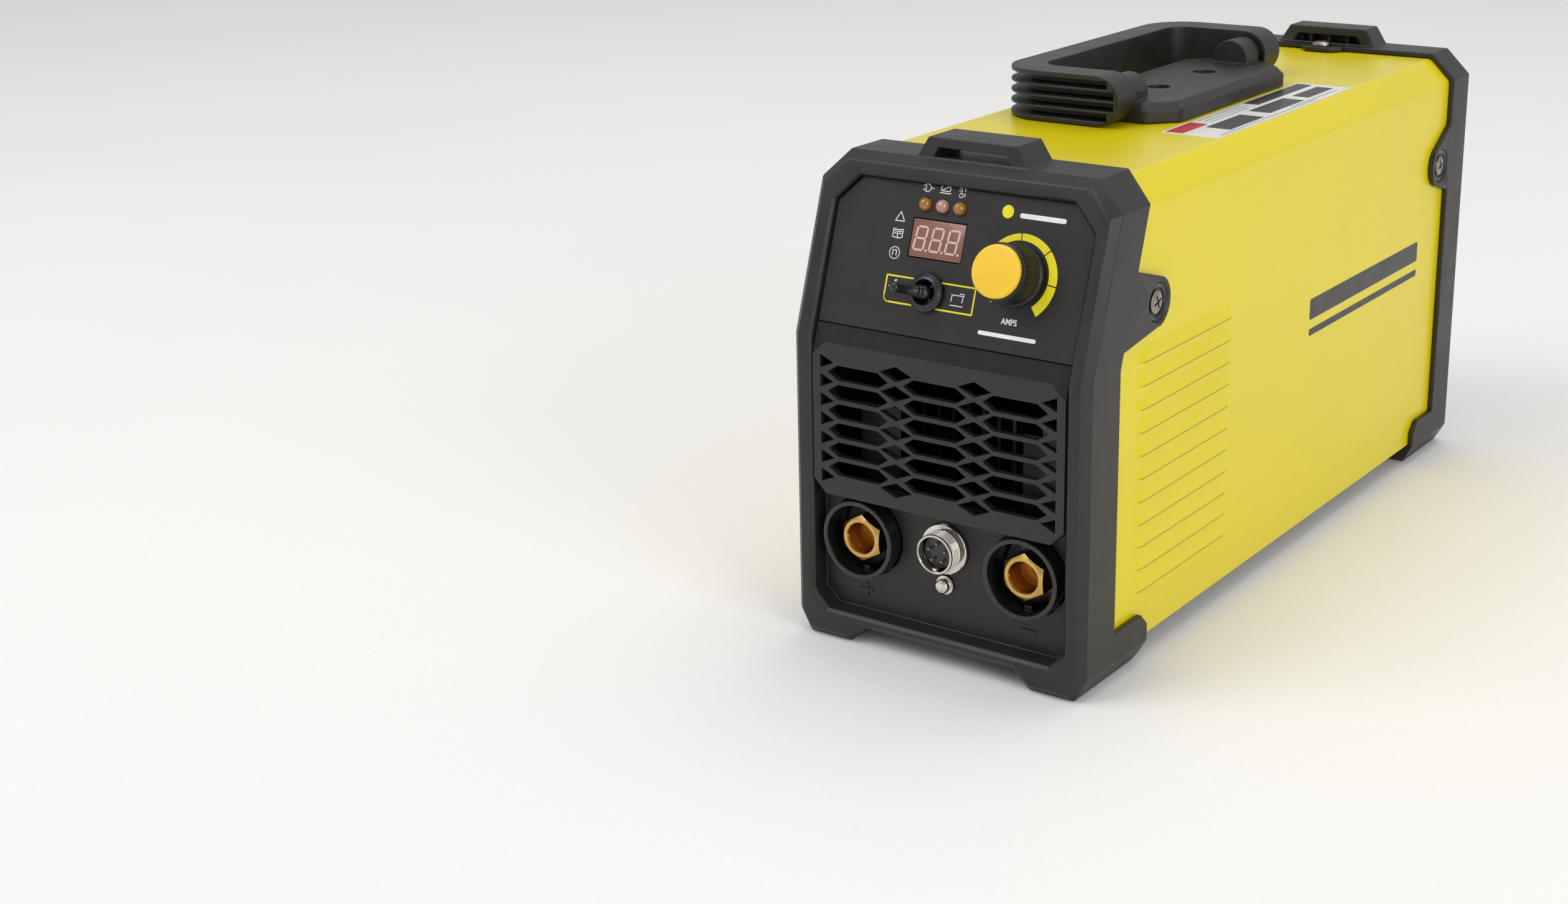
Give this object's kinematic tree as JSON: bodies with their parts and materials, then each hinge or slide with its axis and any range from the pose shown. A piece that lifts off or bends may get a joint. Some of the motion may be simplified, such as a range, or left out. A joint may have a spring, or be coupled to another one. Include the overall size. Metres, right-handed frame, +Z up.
{
  "type": "stick welding inverter",
  "caption": "Portable stick welding inverter: yellow sheet cover between black moulded ends, leaning control panel, twist-lock sockets and a folding handle.",
  "frame": {"origin": "on the surface the feet stand on, under the middle of the bounding box", "axes": "+Z up, -Y out of the control panel, +X to the right of someone facing the panel"},
  "size_m": [0.128, 0.3788, 0.2079],
  "materials": {
    "amps_knob": "satin, knurled",
    "amps_knob_cap": "satin yellow",
    "base_tray": "zinc plated",
    "board_post_front_left": "nickel-free turned",
    "board_post_front_right": "turned",
    "board_post_rear_left": "turned",
    "board_post_rear_right": "turned",
    "carry_handle": "fine moulded texture",
    "control_board": "printed board",
    "control_fascia": "printed overlay",
    "cover_shell": "gloss powder coat",
    "display_module": "moulded",
    "display_window": "tinted",
    "earth_stud": "nickel plated",
    "fan_frame": "moulded",
    "fan_rotor": "moulded",
    "front_bezel": "fine moulded texture",
    "front_grille": "fine moulded texture",
    "front_left_screw": "nickel plated",
    "front_right_screw": "nickel plated",
    "handle_base": "fine moulded texture",
    "handle_pin_front": "turned",
    "handle_pin_rear": "turned",
    "handle_screw_front": "black zinc",
    "handle_screw_rear": "black zinc",
    "led_mains": "amber resin",
    "led_overheat": "amber resin",
    "led_safe_voltage": "rose resin",
    "main_board": "printed board",
    "mains_cable_gland": "moulded",
    "mains_gland_nut": "moulded",
    "negative_bus_bar": "copper bar",
    "negative_socket_collar": "gloss black",
    "negative_socket_insert": "turned",
    "negative_socket_nut": "turned",
    "output_inductor": "enamelled copper",
    "positive_bus_bar": "copper bar",
    "positive_socket_collar": "gloss black",
    "positive_socket_insert": "turned",
    "positive_socket_nut": "turned",
    "potentiometer": "plated",
    "potentiometer_shaft": "turned",
    "power_rocker": "satin",
    "power_switch_body": "satin",
    "primary_heatsink": "extruded",
    "rear_bezel": "fine moulded texture",
    "rear_left_screw": "nickel plated",
    "rear_right_screw": "nickel plated",
    "remote_socket_insert": "moulded",
    "remote_socket_nut": "nickel plated",
    "remote_socket_shell": "nickel plated",
    "reservoir_capacitor_1": "sleeve",
    "reservoir_capacitor_2": "sleeve",
    "secondary_heatsink": "extruded",
    "toggle_boot_ring": "moulded",
    "toggle_lever": "moulded",
    "toggle_switch_body": "moulded",
    "top_rear_screw": "nickel plated",
    "transformer_core": "ferrite",
    "transformer_winding": "enamelled copper"
  },
  "bodies": {
    "casing": {"base_tray": "base_tray", "board_post_front_left": "board_post_front_left", "board_post_front_right": "board_post_front_right", "board_post_rear_left": "board_post_rear_left", "board_post_rear_right": "board_post_rear_right", "control_board": "control_board", "control_fascia": "control_fascia", "cover_shell": "cover_shell", "display_module": "display_module", "display_window": "display_window", "earth_stud": "earth_stud", "fan_frame": "fan_frame", "front_bezel": "front_bezel", "front_grille": "front_grille", "front_left_screw": "front_left_screw", "front_right_screw": "front_right_screw", "handle_base": "handle_base", "handle_pin_front": "handle_pin_front", "handle_pin_rear": "handle_pin_rear", "handle_screw_front": "handle_screw_front", "handle_screw_rear": "handle_screw_rear", "led_mains": "led_mains", "led_overheat": "led_overheat", "led_safe_voltage": "led_safe_voltage", "main_board": "main_board", "mains_cable_gland": "mains_cable_gland", "mains_gland_nut": "mains_gland_nut", "negative_bus_bar": "negative_bus_bar", "negative_socket_collar": "negative_socket_collar", "negative_socket_insert": "negative_socket_insert", "negative_socket_nut": "negative_socket_nut", "output_inductor": "output_inductor", "positive_bus_bar": "positive_bus_bar", "positive_socket_collar": "positive_socket_collar", "positive_socket_insert": "positive_socket_insert", "positive_socket_nut": "positive_socket_nut", "potentiometer": "potentiometer", "power_switch_body": "power_switch_body", "primary_heatsink": "primary_heatsink", "rear_bezel": "rear_bezel", "rear_left_screw": "rear_left_screw", "rear_right_screw": "rear_right_screw", "remote_socket_insert": "remote_socket_insert", "remote_socket_nut": "remote_socket_nut", "remote_socket_shell": "remote_socket_shell", "reservoir_capacitor_1": "reservoir_capacitor_1", "reservoir_capacitor_2": "reservoir_capacitor_2", "secondary_heatsink": "secondary_heatsink", "toggle_boot_ring": "toggle_boot_ring", "toggle_switch_body": "toggle_switch_body", "top_rear_screw": "top_rear_screw", "transformer_core": "transformer_core", "transformer_winding": "transformer_winding"},
    "handle": {"carry_handle": "carry_handle"},
    "knob": {"amps_knob": "amps_knob", "amps_knob_cap": "amps_knob_cap", "potentiometer_shaft": "potentiometer_shaft"},
    "toggle": {"toggle_lever": "toggle_lever"},
    "fan": {"fan_rotor": "fan_rotor"},
    "rocker": {"power_rocker": "power_rocker"}
  },
  "joints": [
    {"name": "handle_fold", "type": "hinge", "parent": "casing", "child": "handle", "pos_m": [0, 0.00778, 0.1979], "axis": [0, 1, 0], "range_deg": [0, 90]},
    {"name": "knob_turn", "type": "hinge", "parent": "casing", "child": "knob", "pos_m": [0.0268, -0.17081, 0.15393], "axis": [0, -0.9478, 0.319], "range_deg": [-135, 135]},
    {"name": "toggle_tilt", "type": "hinge", "parent": "casing", "child": "toggle", "pos_m": [-0.0091, -0.1758, 0.14379], "axis": [0, 0.319, 0.9478], "range_deg": [0, 48]},
    {"name": "fan_spin", "type": "hinge", "parent": "casing", "child": "fan", "pos_m": [0, 0.16378, 0.077], "axis": [0, 1, 0], "continuous": true},
    {"name": "rocker_tilt", "type": "hinge", "parent": "casing", "child": "rocker", "pos_m": [-0.028, 0.16978, 0.15], "axis": [1, 0, 0], "range_deg": [-16, 0]}
  ]
}
